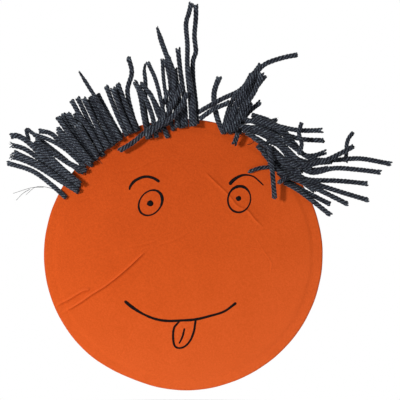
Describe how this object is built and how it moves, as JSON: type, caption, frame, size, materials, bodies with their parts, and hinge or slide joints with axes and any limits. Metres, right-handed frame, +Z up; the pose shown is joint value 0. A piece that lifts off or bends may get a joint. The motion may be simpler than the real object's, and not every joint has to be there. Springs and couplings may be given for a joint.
{
  "type": "paper bag puppet",
  "caption": "Hand puppet: a round cut-paper face with a pen drawing and yarn hair, glued to the folded bottom of a small paper bag that opens as its mouth.",
  "frame": {"origin": "centre of the bag's open lower end, where the hand goes in", "axes": "+Z up from the open end to the bag's top fold, the face looks along -Y, +X to the right as the face is seen"},
  "size_m": [0.2778, 0.0556, 0.2787],
  "materials": {
    "orange_paper": "matte",
    "black_ink": "matte",
    "grey_yarn": "matte",
    "white_glue": "satin",
    "grey_card": "matte",
    "kraft_paper": "matte"
  },
  "bodies": {
    "bag": {"bag_back_panel": "kraft_paper", "bag_front_panel": "kraft_paper", "back_seam_lap": "kraft_paper", "bag_gusset_left": "kraft_paper", "bag_gusset_right": "kraft_paper"},
    "head": {"bag_base": "kraft_paper", "base_tuck_left": "kraft_paper", "base_tuck_right": "kraft_paper", "base_cover_flap": "kraft_paper", "card_glue": "white_glue", "backing_card": "grey_card", "face_paper": "orange_paper", "eyebrow_left": "black_ink", "eyebrow_right": "black_ink", "eye_ring_left": "black_ink", "eye_ring_right": "black_ink", "pupil_left": "black_ink", "pupil_right": "black_ink", "smile": "black_ink", "tongue_outline": "black_ink", "tongue_line": "black_ink", "hair_glue_left": "white_glue", "hair_glue_right": "white_glue", "yarn_left_1": "grey_yarn", "yarn_left_2": "grey_yarn", "yarn_left_3": "grey_yarn", "yarn_left_4": "grey_yarn", "yarn_left_5": "grey_yarn", "tuft_left": "grey_yarn", "tuft_upper_left": "grey_yarn", "tuft_crown_left": "grey_yarn", "yarn_crown_1": "grey_yarn", "yarn_crown_2": "grey_yarn", "yarn_crown_3": "grey_yarn", "yarn_crown_4": "grey_yarn", "yarn_crown_5": "grey_yarn", "yarn_crown_6": "grey_yarn", "yarn_crown_7": "grey_yarn", "yarn_crown_8": "grey_yarn", "yarn_crown_9": "grey_yarn", "tuft_crown": "grey_yarn", "yarn_loose": "grey_yarn", "yarn_peak_1": "grey_yarn", "yarn_peak_2": "grey_yarn", "yarn_peak_3": "grey_yarn", "yarn_peak_4": "grey_yarn", "tuft_peak": "grey_yarn", "yarn_right_1": "grey_yarn", "yarn_right_2": "grey_yarn", "yarn_right_3": "grey_yarn", "yarn_right_4": "grey_yarn", "yarn_right_5": "grey_yarn", "yarn_right_6": "grey_yarn", "yarn_right_7": "grey_yarn", "yarn_right_8": "grey_yarn", "yarn_right_9": "grey_yarn", "tuft_right": "grey_yarn"},
    "palate": {"mouth_palate": "kraft_paper"},
    "throat": {"mouth_throat": "kraft_paper"}
  },
  "joints": [
    {"name": "mouth_fold", "type": "hinge", "parent": "bag", "child": "head", "pos_m": [0, -0.01992, 0.165], "axis": [-1, 0, 0], "range_deg": [0, 45]},
    {"name": "palate_fold", "type": "hinge", "parent": "head", "child": "palate", "pos_m": [0, -0.01992, 0.105], "axis": [-1, 0, 0], "range_deg": [0, 24]},
    {"name": "throat_fold", "type": "hinge", "parent": "bag", "child": "throat", "pos_m": [0, -0.0188, 0.105], "axis": [1, 0, 0], "range_deg": [0, 24]}
  ],
  "couplings": [
    {"joint": "palate_fold", "follows": "mouth_fold", "ratio": 0.5},
    {"joint": "throat_fold", "follows": "mouth_fold", "ratio": 0.5}
  ]
}
